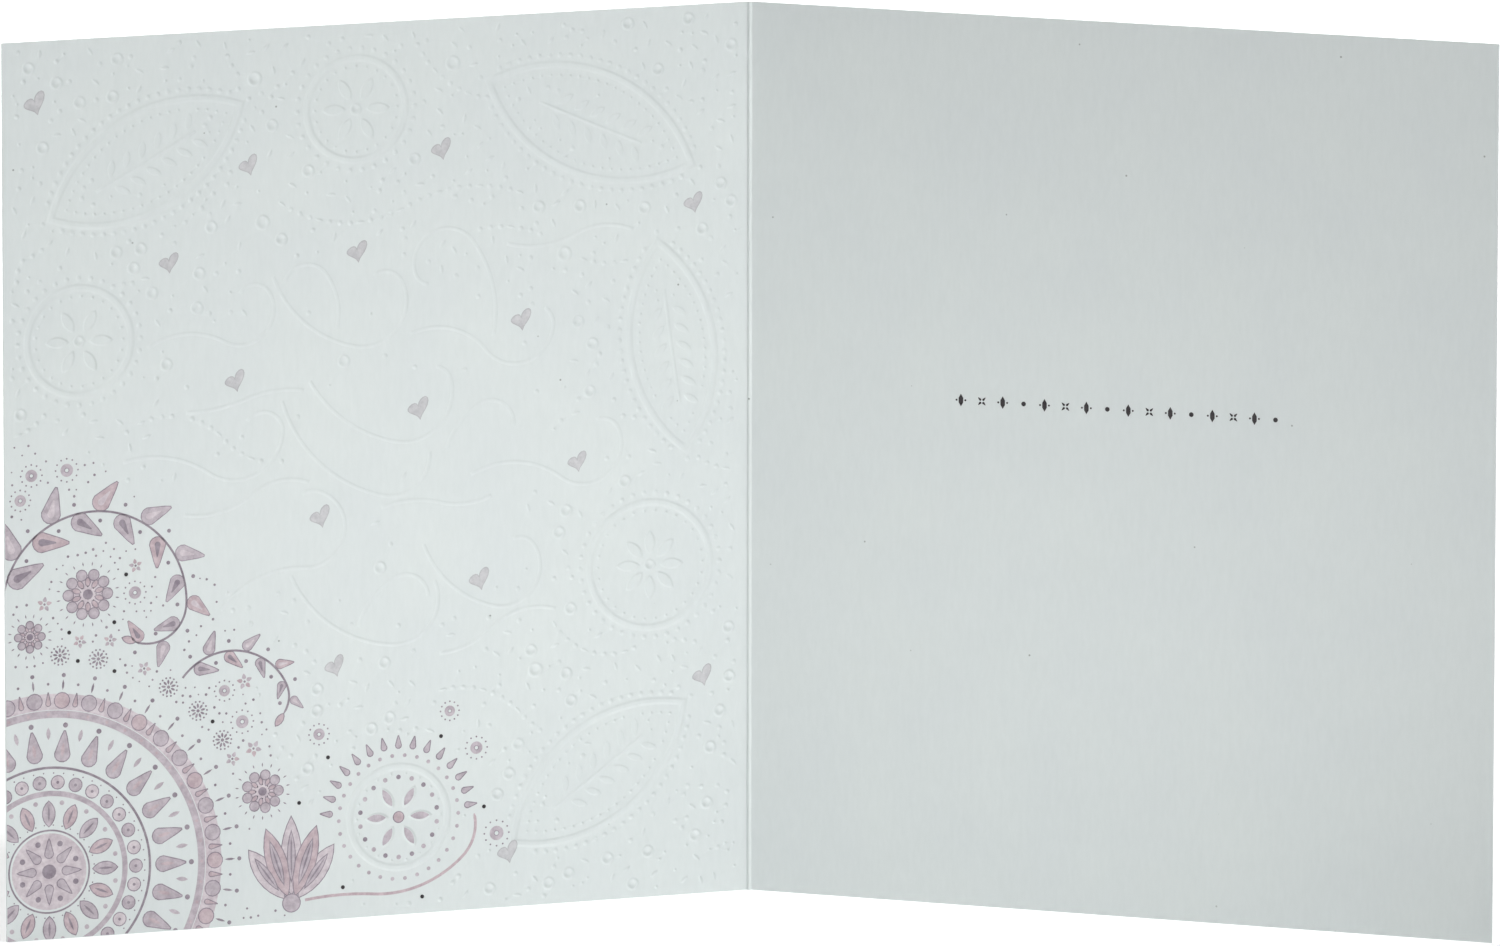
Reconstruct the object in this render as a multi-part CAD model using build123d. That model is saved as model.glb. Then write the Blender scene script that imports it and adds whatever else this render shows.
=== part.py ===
# A greeting card: one sheet of board, scored and folded once, standing open like a book, with a
# pattern embossed in its front leaf. Millimetres and degrees. The spine is at the back, the leaves
# come forward to -Y, and the card stands on its bottom edges at Z = 0.
import os
from math import cos, pi, radians, sin, tan

from build123d import *

# The sheet
leaf_width = 159.0
leaf_height = 184.0
board = 0.4
opening_angle = 141.2

# The scored fold: the rule leaves a groove outside and pushes up a bead inside
bead_width = 1.3
bead_height = 0.22
bead_foot_radius = 0.25
groove_width = 0.9
groove_depth = 0.18
groove_lip_radius = 0.2

# Embossing: the die sinks a shape into the inner face and raises it outside, with sloping walls
emboss_depth = 0.25
emboss_slope = 45
line_width = 1.2
petal_length = 5.5
petal_width = 2.6
petal_start = 1.9
petal_gap = 0.25
ring_diameter = 3.2
ring_hole = 1.4

# Places on the front leaf are shares of its width from the fold, and of its height from the foot.
# A roundel has a radius and a count of petals, a leaf outline a length, a width and a turn.
roundels = [
    (0.530, 0.905, 10.5, 6),
    (0.900, 0.665, 11.0, 6),
    (0.135, 0.375, 13.0, 8),
    (0.475, 0.110, 10.5, 6),
]
leaf_outlines = [
    (0.215, 0.875, 46.0, 21.0, 24),
    (0.810, 0.860, 44.0, 20.0, -28),
    (0.105, 0.620, 42.0, 18.0, 82),
    (0.205, 0.145, 44.0, 20.0, -36),
]
rings = [
    (0.400, 0.950),
    (0.665, 0.945),
    (0.250, 0.730),
    (0.290, 0.265),
    (0.655, 0.785),
]

# Each leaf turns back from the sheet's flat plane by half of what the opening lacks to 180 degrees
leaf_turn = (180 - opening_angle) / 2
wall_run = emboss_depth / tan(radians(emboss_slope))
# The board keeps its thickness round each corner of a wall, which makes the raised side wider
raised_spread = board * tan(radians(emboss_slope / 2))


def along_leaf(distance, height):
    """A point of the right leaf's section: distance from the fold, height above the inner face."""
    return Vector(distance, height).rotate(Axis.Z, -leaf_turn)


def other_side(point):
    """The same point across the fold."""
    return Vector(-point.X, point.Y)


def at_either(section, point):
    """The section's corners at this point and across the fold from it."""
    places = (point, other_side(point))
    return [v for v in section.vertices() if min((v.center() - p).length for p in places) < 0.01]


def folded_section():
    """The sheet cut across the fold, with the fold's inner corner at the origin."""
    inner_edge = along_leaf(leaf_width, 0)
    outer_edge = along_leaf(leaf_width, board)
    bead_foot = along_leaf(bead_width / 2, 0)
    groove_lip = along_leaf(groove_width / 2, board)
    bead_top = Vector(0, bead_foot.Y - bead_height)
    groove_floor = Vector(0, groove_lip.Y - groove_depth)
    outline = Curve() + [
        Polyline(bead_foot, inner_edge, outer_edge, groove_lip),
        ThreePointArc(groove_lip, groove_floor, other_side(groove_lip)),
        Polyline(*[other_side(p) for p in (groove_lip, outer_edge, inner_edge, bead_foot)]),
        ThreePointArc(other_side(bead_foot), bead_top, bead_foot),
    ]
    section = make_face(outline)
    section = fillet(at_either(section, bead_foot), bead_foot_radius)
    return fillet(at_either(section, groove_lip), groove_lip_radius)


def disc(radius, flare):
    """A pressed disc standing on the plane, whose wall slopes outwards for flare 1, inwards for -1."""
    return Cone(
        radius,
        radius + flare * wall_run,
        emboss_depth,
        align=(Align.CENTER, Align.CENTER, Align.MIN),
    )


def lens_arc(length, width):
    """The radius of a pointed oval's two arcs, and how far their centres lie from its middle."""
    radius = (length**2 + width**2) / (4 * width)
    return radius, radius - width / 2


def lens(length, width, flare):
    """A pressed pointed oval, which is where two discs overlap."""
    radius, offset = lens_arc(length, width)
    return Pos(0, offset) * disc(radius, flare) & Pos(0, -offset) * disc(radius, flare)


def ring(outer_radius, inner_radius, spread):
    """A pressed ring, made wider both ways by the spread."""
    return disc(outer_radius + spread, -1) - disc(inner_radius - spread, 1)


def petal_reach(petals):
    """How far a flower's petals lie from its middle, so that their raised sides clear each other."""
    radius, offset = lens_arc(petal_length + 2 * raised_spread, petal_width + 2 * raised_spread)
    half_pitch = pi / petals
    clear = (radius + petal_gap / 2 - offset * cos(half_pitch)) / sin(half_pitch)
    return max(petal_start + petal_length / 2, clear)


def roundel(radius, petals, spread):
    """A round outline with a flower in it."""
    outline = ring(radius + line_width / 2, radius - line_width / 2, spread)
    petal = lens(petal_length + 2 * spread, petal_width + 2 * spread, -1)
    return [outline] + [loc * petal for loc in PolarLocations(petal_reach(petals), petals)]


def leaf_outline(length, width, spread):
    """A leaf's outline, whose line is as wide at its sides as a roundel's."""
    grown = line_width / 2 + spread
    slimness = length / width
    outer = lens(length + 2 * grown * slimness, width + 2 * grown, -1)
    inner = lens(length - 2 * grown * slimness, width - 2 * grown, 1)
    return outer - inner


def pattern(spread):
    """Every embossed shape on the flat front leaf, made wider all round by the spread."""

    def place(across, up, turn=0):
        return Pos(across * leaf_width, up * leaf_height) * Rot(0, 0, turn)

    shapes = []
    for across, up, radius, petals in roundels:
        shapes += [place(across, up) * part for part in roundel(radius, petals, spread)]
    for across, up, length, width, turn in leaf_outlines:
        shapes.append(place(across, up, turn) * leaf_outline(length, width, spread))
    for across, up in rings:
        shapes.append(place(across, up) * ring(ring_diameter / 2, ring_hole / 2, spread))
    return shapes


def emboss(sheet):
    """Presses the pattern into the inner face of the front leaf and raises it outside."""
    to_free_edge = Vector(-1, 0).rotate(Axis.Z, leaf_turn)
    outwards = Vector(0, 1).rotate(Axis.Z, leaf_turn)
    inner_face = Plane((0, 0, 0), x_dir=to_free_edge, z_dir=outwards)
    outer_face = inner_face.offset(board)
    raised = [outer_face * shape for shape in pattern(raised_spread)]
    sunk = [inner_face * shape for shape in pattern(0)]
    return sheet + raised - sunk


def stand_centred(sheet):
    """Puts the origin at the middle of the space that the card stands on."""
    box = sheet.bounding_box()
    middle = box.center()
    return Pos(-middle.X, -middle.Y, -box.min.Z) * sheet


folded_sheet = extrude(folded_section(), amount=leaf_height)
card = stand_centred(emboss(folded_sheet))

os.makedirs("parts", exist_ok=True)
export_step(card, "parts/card.step")
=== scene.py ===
import math
import random

import bmesh
import bpy
from mathutils import Matrix, Quaternion, Vector


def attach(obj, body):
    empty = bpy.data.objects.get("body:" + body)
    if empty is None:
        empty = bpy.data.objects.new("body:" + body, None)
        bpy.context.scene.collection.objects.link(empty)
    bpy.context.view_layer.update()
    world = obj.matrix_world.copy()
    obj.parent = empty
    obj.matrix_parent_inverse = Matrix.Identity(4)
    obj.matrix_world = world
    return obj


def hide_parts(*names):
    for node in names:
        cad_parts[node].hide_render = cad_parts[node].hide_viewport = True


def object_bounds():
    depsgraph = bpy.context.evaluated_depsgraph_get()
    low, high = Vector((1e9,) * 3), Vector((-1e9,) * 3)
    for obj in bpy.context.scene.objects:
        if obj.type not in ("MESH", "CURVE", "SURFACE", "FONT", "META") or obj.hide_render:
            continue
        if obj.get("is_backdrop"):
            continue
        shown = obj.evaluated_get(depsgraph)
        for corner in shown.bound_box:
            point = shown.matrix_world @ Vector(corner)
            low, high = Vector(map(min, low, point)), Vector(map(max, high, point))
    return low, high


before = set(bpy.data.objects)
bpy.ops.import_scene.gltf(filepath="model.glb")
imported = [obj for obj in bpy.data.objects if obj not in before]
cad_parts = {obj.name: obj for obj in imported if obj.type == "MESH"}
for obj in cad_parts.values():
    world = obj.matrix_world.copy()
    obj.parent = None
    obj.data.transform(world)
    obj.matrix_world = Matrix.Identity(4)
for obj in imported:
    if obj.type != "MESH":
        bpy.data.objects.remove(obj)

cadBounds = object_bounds()
random.seed(23)
mm = 0.001

# The card is worked flat, as a sheet seen from inside, in millimetres: x runs from the front leaf's free
# edge (-159) over the fold (0) to the back leaf's (159), y is the height, and +z faces the reader.
# It is folded and stood up at the end.
sheet = {
    "leafWidth": 159.0,
    "leafHeight": 184.0,
    "board": 0.4,
    "leafTurn": 19.4,      # degrees that each leaf comes forward of the flat
    "foldBack": 26.3,      # where the fold's inner corner stands, in y
    "rows": 8,             # strips of the fold and the back leaf, from foot to top
    "backColumns": (20, 66, 112),
    # the span that gets painted highlight: lighter paper on the bead's right flank, which faces the key lamp
    "paintedHighlightSpan": (-0.1, 0.6),     # where the fold shows the lighter paper
    "sharpFrom": 62,       # edges bent by more than this many degrees stay sharp
    "clearEdge": 1.0,      # bare board along the cut edges, and along the fold
    "clearFold": 2.2,
    # across the fold: x, how far the bead stands forward of the leaf there, then how far the crease
    # pushes the inner face on, across and forward, once the board has its thickness
    "fold": [(-0.74, 0.0, 0.0, 0.0), (-0.60, 0.035, 0.04, -0.061), (-0.48, 0.129, 0.05, -0.163),
             (-0.33, 0.264, -0.02, -0.215), (-0.17, 0.371, -0.04, -0.051), (0.0, 0.436, -0.06, 0.034),
             (0.17, 0.371, -0.09, 0.044), (0.33, 0.264, -0.08, 0.010), (0.48, 0.129, -0.03, -0.068),
             (0.60, 0.035, 0.0, -0.061), (0.74, 0.0, 0.0, 0.0)],
}

relief = {
    "lineWidth": 1.8,
    "deepWall": [(0.20, 0.055), (0.26, 0.12), (0.18, 0.045)],   # each step: how far in, how far down
    "petalWall": [(0.16, 0.07), (0.22, 0.13), (0.12, 0.04)],
    "thinWall": [(0.19, 0.075), (0.18, 0.065)],
    "dotWall": [(0.21, 0.10), (0.22, 0.105)],
    "ringWall": [(0.21, 0.10), (0.21, 0.105)],
    "ringTop": (0.27, 0.09),    # the button in a ring's middle stands a little proud
    "gap": 0.32,           # least board between two pressed shapes
    "rowGap": 0.2,         # and for dots that stand in a row
    "dot": (0.7, 8),       # radius and sides
    "fineDot": (0.52, 7),
    "smallRing": (1.55, 12, 0.16),    # radius, sides, and its floor's width
    "ring": (1.75, 20, 0.2),
    "seed": (2.5, 1.1, 4),            # length, width and steps along each side
    "sprigLeaf": (4.2, 1.8, 5),
    # share of width from the fold, share of height from the foot, then radius and petals
    "roundels": [(0.530, 0.905, 10.5, 6), (0.900, 0.665, 11.0, 6), (0.135, 0.375, 13.0, 8),
                 (0.475, 0.110, 10.5, 6)],
    # the same shares, then length, width and turn
    "leafOutlines": [(0.215, 0.875, 46.0, 21.0, 24), (0.810, 0.860, 44.0, 20.0, -28),
                     (0.105, 0.620, 42.0, 18.0, 82), (0.205, 0.145, 44.0, 20.0, -36)],
    "rings": [(0.400, 0.950), (0.665, 0.945), (0.250, 0.730), (0.290, 0.265), (0.655, 0.785)],
    "petal": (5.5, 2.6, 4.65),    # length, width, and how far its middle lies from the flower's
    # what is scattered over the rest: how many, and the least board between two
    "smallRings": (62, 0.9),
    "dashes": (180, 0.35),
    "dots": (400, 0.42),
    # the oval in the middle of the leaf where few of them lie
    "quiet": {"middle": (-84, 97), "reach": (47, 44), "share": 0.05},
}

# the sprig in each embossed leaf, along its length from its middle
sprig = {
    "stem": [(600, 2.3)], "stemWidth": 0.95, "stemStart": -12, "stemTurn": -1, "taper": 0.8,
    "leaves": (-8.5, -4.8, -1.1, 2.6, 6.3, 10.0), "lead": 1.6, "aside": 2.55, "turn": 52,
}


def onLeaf(across, up):
    return -across * sheet["leafWidth"], up * sheet["leafHeight"]


def placing(x, y, turn=0.0, size=1.0, level=0.0):
    return (Matrix.Translation((x, y, level)) @ Matrix.Rotation(math.radians(turn), 4, "Z")
            @ Matrix.Scale(size, 4))


def turned(x, y, turn, along, aside=0.0):
    # the place so far along a heading, and so far to its left
    c, s = math.cos(math.radians(turn)), math.sin(math.radians(turn))
    return x + along * c - aside * s, y + along * s + aside * c


def aroundCircle(x, y, radius, count, start=0.0):
    for i in range(count):
        angle = start + 360 / count * i
        yield (*turned(x, y, angle, radius), angle)


def keepMesh(bm, name):
    mesh = bpy.data.meshes.new(name)
    bm.to_mesh(mesh)
    bm.free()
    return mesh


# Where something already lies on the front leaf, kept by squares
taken = {}
squareSide = 6


def squares(x, y, radius):
    def span(c):
        return range(int((c - radius) // squareSide), int((c + radius) // squareSide) + 1)

    return [(i, j) for i in span(x) for j in span(y)]


def claim(x, y, radius):
    for square in squares(x, y, radius):
        taken.setdefault(square, []).append((x, y, radius))


def isFree(x, y, radius, gap):
    if x - radius < -sheet["leafWidth"] + sheet["clearEdge"] or x + radius > -sheet["clearFold"]:
        return False
    if y - radius < sheet["clearEdge"] or y + radius > sheet["leafHeight"] - sheet["clearEdge"]:
        return False
    return all(math.hypot(x - a, y - b) > radius + r + gap
               for square in squares(x, y, radius + gap) for a, b, r in taken.get(square, []))


def walk(arcs, pitch, x=0.0, y=0.0, heading=0.0, first=0.0):
    # places every so many millimetres along joined arcs of (radius, degrees), minus for a right turn,
    # each with the heading there
    spots, travelled, due = [], 0.0, first
    for radius, bend in arcs:
        side = 1 if bend > 0 else -1
        length = radius * math.radians(abs(bend))
        normal = math.radians(heading + 90 * side)
        cx, cy = x + radius * math.cos(normal), y + radius * math.sin(normal)
        while due <= travelled + length + 1e-6:
            angle = side * math.degrees((due - travelled) / radius)
            back = math.radians(heading + angle - 90 * side)
            spots.append((cx + radius * math.cos(back), cy + radius * math.sin(back), heading + angle))
            due += pitch
        heading += bend
        back = math.radians(heading - 90 * side)
        x, y = cx + radius * math.cos(back), cy + radius * math.sin(back)
        travelled += length
    return spots


def roundFace(bm, radius, sides):
    bmesh.ops.create_circle(bm, cap_ends=True, radius=radius, segments=sides)
    return bm.faces[:][0]


def ovalFace(bm, length, width, steps):
    # a pointed oval between two arcs
    radius = (length ** 2 + width ** 2) / (4 * width)
    sweep = 2 * math.asin(length / 2 / radius)
    for side in (1, -1):
        tip = bm.verts.new((side * length / 2, 0, 0))
        bmesh.ops.spin(bm, geom=[tip], cent=(0, side * (width / 2 - radius), 0), axis=(0, 0, 1),
                       angle=sweep, steps=steps)
    bmesh.ops.remove_doubles(bm, verts=bm.verts, dist=0.002)
    face = bmesh.ops.contextual_create(bm, geom=bm.edges[:])["faces"][0]
    faceUp(bm)
    return face


def dropFace(bm, length, width, sides):
    # a drop with its point along +x and its round end at the origin
    face = roundFace(bm, width / 2, sides)
    for v in face.verts:
        out = max(0.0, v.co.x / (width / 2))
        v.co.x += (length - width) * out ** 1.6
        v.co.y *= 1 - 0.42 * out
    bmesh.ops.translate(bm, verts=face.verts[:], vec=(width / 2, 0, 0))
    return face


def heartFace(bm, height, sides):
    # a plain heart with its point down, as if drawn by hand: straight sides, the right one higher
    face = roundFace(bm, 1, sides)
    for v in face.verts:
        t = math.atan2(v.co.x, v.co.y)
        y = 13 * math.cos(t) - 5 * math.cos(2 * t) - 2 * math.cos(3 * t) - math.cos(4 * t) + 2.5
        rise = (y + 14.5) / 29     # 0 at the point, 1 at the top
        v.co.x = 16 * math.sin(t) ** 3 * (0.75 + 0.45 * rise)
        v.co.y = y + 0.36 * v.co.x * rise
    crowded = 1.2     # points nearer the middle line than this would fold the rim over itself
    bmesh.ops.dissolve_verts(bm, verts=[v for v in face.verts if 0.01 < abs(v.co.x) < crowded])
    bmesh.ops.scale(bm, verts=bm.verts[:], vec=(height / 33, height / 32, 1))
    return bm.faces[:][0]


def strip(bm, width, arcs, stepLength, taper=1.0):
    # a strip that starts at the origin along +x and bends by each arc in turn
    left, right = bm.verts.new((0, width / 2, 0)), bm.verts.new((0, -width / 2, 0))
    geom = [left, right, bm.edges.new((left, right))]
    x, y, heading = 0.0, 0.0, 0.0
    for radius, bend in arcs:
        side = 1 if bend > 0 else -1
        normal = math.radians(heading + 90 * side)
        centre = Vector((x + radius * math.cos(normal), y + radius * math.sin(normal), 0))
        steps = max(2, round(radius * math.radians(abs(bend)) / stepLength))
        geom = bmesh.ops.spin(bm, geom=geom, cent=centre, axis=(0, 0, 1), angle=math.radians(bend),
                              steps=steps)["geom_last"]
        heading += bend
        back = math.radians(heading - 90 * side)
        x, y = centre.x + radius * math.cos(back), centre.y + radius * math.sin(back)
    bmesh.ops.scale(bm, verts=[v for v in geom if isinstance(v, bmesh.types.BMVert)], vec=(taper,) * 3,
                    space=Matrix.Translation((-x, -y, 0)))
    bmesh.ops.recalc_face_normals(bm, faces=bm.faces)
    faceUp(bm)
    return bm.faces[:]


def faceUp(bm):
    bm.normal_update()
    if sum(f.normal.z * f.calc_area() for f in bm.faces) < 0:
        bmesh.ops.reverse_faces(bm, faces=bm.faces)


def sink(bm, face, steps):
    for inwards, down in steps:
        bmesh.ops.inset_individual(bm, faces=[face], thickness=inwards, depth=-down, use_even_offset=True)


def sinkBand(bm, steps):
    faces = bm.faces[:]
    for inwards, down in steps:
        bmesh.ops.inset_region(bm, faces=faces, thickness=inwards, depth=-down, use_even_offset=True,
                               use_boundary=True)


def lineDie(bm, face, name):
    # keeps only a line round the face's edge, and sinks it
    bmesh.ops.inset_individual(bm, faces=[face], thickness=relief["lineWidth"], use_even_offset=True)
    bmesh.ops.delete(bm, geom=[face], context="FACES_ONLY")
    sinkBand(bm, relief["deepWall"])
    return keepMesh(bm, name)


def ovalDie(name, length, width, steps, wall):
    bm = bmesh.new()
    sink(bm, ovalFace(bm, length, width, steps), wall)
    return keepMesh(bm, name)


def dotDie(name, radius, sides):
    bm = bmesh.new()
    sink(bm, roundFace(bm, radius, sides), relief["dotWall"])
    return keepMesh(bm, name)


def ringDie(name, radius, sides, floor):
    bm = bmesh.new()
    back = [(inwards, -down) for inwards, down in reversed(relief["ringWall"])]
    inwards, proud = relief["ringTop"]
    sink(bm, roundFace(bm, radius, sides), relief["ringWall"] + [(floor, 0.0)] + back + [(inwards, -proud)])
    return keepMesh(bm, name)


# Everything pressed in the front leaf: a die and its place
pressed = []


def press(die, x, y, turn=0.0, size=1.0):
    pressed.append((die, placing(x, y, turn, size)))


def pressIfFree(die, x, y, turn=0.0, size=1.0, gap=relief["gap"]):
    reach = max(v.co.length for v in die.vertices) * size
    if not isFree(x, y, reach, gap):
        return False
    press(die, x, y, turn, size)
    claim(x, y, reach)
    return True


print("dies")
line = relief["lineWidth"]
dot = dotDie("dotDie", *relief["dot"])
fineDot = dotDie("fineDotDie", *relief["fineDot"])
smallRing = ringDie("smallRingDie", *relief["smallRing"])
petalLength, petalWidth, petalReach = relief["petal"]
petal = ovalDie("petalDie", petalLength, petalWidth, 8, relief["petalWall"])
seed = ovalDie("seedDie", *relief["seed"], relief["dotWall"])
sprigLeaf = ovalDie("sprigLeafDie", *relief["sprigLeaf"], relief["dotWall"])
bm = bmesh.new()
strip(bm, sprig["stemWidth"], sprig["stem"], 2.0, sprig["taper"])
sinkBand(bm, relief["thinWall"])
midrib = keepMesh(bm, "midribDie")

print("embossed lines")
leafRims = []
for across, up, radius, petals in relief["roundels"]:
    x, y = onLeaf(across, up)
    bm = bmesh.new()
    press(lineDie(bm, roundFace(bm, radius + line / 2, 60), "roundelDie"), x, y)
    for a, b, angle in aroundCircle(x, y, petalReach, petals):
        press(petal, a, b, angle)
    claim(x, y, radius + line / 2)
for across, up, length, width, turn in relief["leafOutlines"]:
    x, y = onLeaf(across, up)
    slimness = length / width
    bm = bmesh.new()
    face = ovalFace(bm, length + line * slimness, width + line, 22)
    press(lineDie(bm, face, "leafOutlineDie"), x, y, -turn)
    radius = (length ** 2 + width ** 2) / (4 * width)
    bend = 2 * math.degrees(math.asin(length / 2 / radius))
    leafRims.append((x, y, -turn, radius, bend, length, width))
for across, up in relief["rings"]:
    x, y = onLeaf(across, up)
    press(ringDie("ringDie", *relief["ring"]), x, y)
    claim(x, y, relief["ring"][0])


def rimSpots(rim, outset, pitch):
    # places along a leaf outline's two sides, set out from its line or in from it
    x, y, turn, radius, bend, length, width = rim
    reach = radius + outset
    half = math.degrees(math.acos(min(1.0, (radius - width / 2) / reach)))
    for side in (1, -1):
        count = max(2, round(reach * math.radians(2 * half) / pitch))
        for i in range(count + 1):
            angle = math.radians(90 - half + 2 * half * i / count)
            yield turned(x, y, turn, reach * math.cos(angle) * side,
                         (reach * math.sin(angle) - (radius - width / 2)) * side)


for rim in leafRims:
    for x, y in rimSpots(rim, 0, 1.0):
        claim(x, y, line / 2 + 0.1)
    for end in (-1, 1):
        claim(*turned(*rim[:3], end * rim[5] / 2), 1.7)


# The print is worked flat too, as thin films that are closed once they have a thickness
inks = {
    "film": 0.07,
    "underLevel": 0.012, "fillLevel": 0.024, "lineLevel": 0.036, "darkLevel": 0.048,
    "edgeWidth": 0.2,
    "margin": 0.12,        # how far the print stays from the cut edges
}
inkOrder = ["mauve", "edge", "rose", "blush", "soft", "haze"]
printed = {}
shapes = {}


def shape(kind, *sizes, ink="mauve", edge="edge"):
    # a printed shape, made once and stamped where it is wanted
    key = (kind, sizes, ink, edge)
    if key not in shapes:
        bm = bmesh.new()
        make = {"disc": roundFace, "oval": ovalFace, "drop": dropFace, "heart": heartFace}[kind]
        face = make(bm, *sizes)
        face.material_index = inkOrder.index(ink) if ink in inkOrder else 0
        if edge:
            rim = bmesh.ops.inset_individual(bm, faces=[face], thickness=inks["edgeWidth"],
                                             use_even_offset=True)
            for f in rim["faces"]:
                f.material_index = inkOrder.index(edge)
        shapes[key] = keepMesh(bm, "printShape")
    return shapes[key]


def lineShape(width, arcs, stepLength=0.8, ink="mauve", taper=1.0):
    bm = bmesh.new()
    for f in strip(bm, width, arcs, stepLength, taper):
        f.material_index = inkOrder.index(ink)
    return keepMesh(bm, "printLine")


def ringShape(radius, width, sides, ink="mauve"):
    bm = bmesh.new()
    face = roundFace(bm, radius + width / 2, sides)
    for f in bmesh.ops.inset_individual(bm, faces=[face], thickness=width, use_even_offset=True)["faces"]:
        f.material_index = inkOrder.index(ink)
    bmesh.ops.delete(bm, geom=[face], context="FACES_ONLY")
    return keepMesh(bm, "printRing")


def stamp(piece, mesh, x, y, turn=0.0, size=1.0, level="fillLevel"):
    if piece not in printed:
        printed[piece] = bmesh.new()
    copy = mesh.copy()
    copy.transform(placing(x, y, turn, size, inks[level]))
    printed[piece].from_mesh(copy)
    bpy.data.meshes.remove(copy)


print("printed hearts")
hearts = {
    "height": 4.5, "sides": 28, "tilt": (4, 15), "size": (0.9, 1.04), "clear": 2.9,
    "places": [(-152, 171), (-107, 156), (-66, 157), (-12, 143), (-49, 121), (-84, 137), (-124, 137),
               (-110, 112), (-71, 104), (-37, 91), (-92, 83), (-58, 68), (-89, 52), (-10, 45), (-52, 11)],
}
heart = shape("heart", hearts["height"], hearts["sides"], ink="haze", edge="soft")
for x, y in hearts["places"]:
    tilt = random.uniform(*hearts["tilt"])
    stamp("hearts_print", heart, x, y, tilt, random.uniform(*hearts["size"]))
    claim(x, y, hearts["clear"])

print("printed corner")
# rings of shapes round one middle near the card's corner
corner = {
    "middle": (-150.0, 14.0),
    "reach": 41.5,
    "tufts": (44.4, 34, 1.9),    # how far out, places tried, radius
    # bands: radius, width, sides, ink, level
    "bands": [
        (8.5, 0.35, 64, "edge", "fillLevel"),
        (16.1, 1.1, 90, "mauve", "fillLevel"),
        (21.4, 0.5, 110, "edge", "fillLevel"),
        (34.95, 3.3, 110, "blush", "underLevel"),
        (32.4, 1.5, 110, "mauve", "fillLevel"),
    ],
    # rings: how far out, how many, where the first stands, shape, sizes, inks in turn, edge ink, level
    "rings": [
        (2.6, 8, 0, "drop", (4.4, 2.1, 12), ["mauve"], "edge", "fillLevel"),
        (6.1, 8, 22.5, "disc", (0.6, 10), ["edge"], None, "fillLevel"),
        (9.6, 32, 5.6, "disc", (0.17, 6), ["edge"], None, "fillLevel"),
        (11.9, 16, 0, "oval", (5.6, 2.9, 7), ["mauve", "rose"], "edge", "fillLevel"),
        (11.9, 16, 0, "oval", (3.2, 0.5, 4), ["edge"], None, "lineLevel"),
        (14.3, 16, 11.25, "disc", (0.5, 10), ["mauve"], None, "fillLevel"),
        (18.4, 30, 0, "disc", (1.5, 14), ["mauve", "blush"], "edge", "fillLevel"),
        (18.4, 30, 0, "disc", (0.32, 8), ["edge"], None, "lineLevel"),
        (20.3, 60, 3, "disc", (0.17, 6), ["edge"], None, "fillLevel"),
        (22.5, 26, 0, "drop", (6.8, 3.5, 14), ["mauve"], "edge", "fillLevel"),
        (25.1, 26, 0, "oval", (3.0, 0.8, 4), ["rose"], None, "lineLevel"),
        (28.4, 26, 180 / 26, "oval", (2.6, 0.9, 4), ["mauve"], None, "fillLevel"),
        (30.2, 26, 0, "disc", (0.55, 10), ["edge"], None, "fillLevel"),
        (32.4, 48, 0, "disc", (0.36, 8), ["rose"], None, "lineLevel"),
        (33.9, 38, 180 / 38, "drop", (3.2, 1.3, 10), ["rose"], "edge", "fillLevel"),
        (35.2, 38, 0, "disc", (1.75, 14), ["rose", "mauve", "mauve"], "edge", "fillLevel"),
        (38.4, 38, 0, "oval", (2.2, 0.5, 3), ["edge"], None, "fillLevel"),
        (38.6, 38, 180 / 38, "disc", (0.3, 8), ["edge"], None, "fillLevel"),
        (40.4, 38, 0, "disc", (0.45, 8), ["edge"], None, "fillLevel"),
    ],
}
cx, cy = corner["middle"]
stamp("corner_print", shape("disc", 7.9, 40, ink="blush", edge=None), cx, cy, level="underLevel")
stamp("corner_print", shape("disc", 1.5, 16, ink="edge", edge=None), cx, cy, level="lineLevel")
for radius, width, sides, inkName, level in corner["bands"]:
    stamp("corner_print", ringShape(radius, width, sides, ink=inkName), cx, cy, level=level)
for radius, count, start, kind, dims, inkNames, edge, level in corner["rings"]:
    for i, (x, y, angle) in enumerate(aroundCircle(cx, cy, radius, count, start)):
        ringPart = shape(kind, *dims, ink=inkNames[i % len(inkNames)], edge=edge)
        stamp("corner_print", ringPart, x, y, 0.0 if kind == "disc" else angle, level=level)
claim(cx, cy, corner["reach"])


def rosette(x, y, radius, petals):
    # a round blossom: a pale ground, two rows of round petals, a dark middle and fine ticks round it
    outer = radius * math.sin(math.pi / petals) / (1 + math.sin(math.pi / petals))
    ground = shape("disc", round(radius - outer, 2), 28, ink="blush", edge=None)
    outerPetal = shape("disc", round(outer * 0.98, 2), 12)
    innerPetal = shape("oval", round(radius * 0.42, 2), round(radius * 0.24, 2), 4, ink="rose")
    middle = shape("disc", round(radius * 0.2, 2), 12, ink="edge", edge=None)
    tick = shape("oval", 0.9, 0.3, 2, ink="edge", edge=None)
    stamp("spray_print", ground, x, y, level="underLevel")
    for a, b, angle in aroundCircle(x, y, radius - outer, petals):
        stamp("spray_print", outerPetal, a, b)
    for a, b, angle in aroundCircle(x, y, radius * 0.47, petals, 180 / petals):
        stamp("spray_print", innerPetal, a, b, angle)
    stamp("spray_print", middle, x, y, level="lineLevel")
    for a, b, angle in aroundCircle(x, y, radius * 0.32, 8):
        stamp("dark_print", shape("disc", 0.13, 6, edge=None), a, b, level="darkLevel")
    for a, b, angle in aroundCircle(x, y, radius + 0.9, petals * 2, 90 / petals):
        stamp("spray_print", tick, a, b, angle)
    claim(x, y, radius + 1.5)


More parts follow.
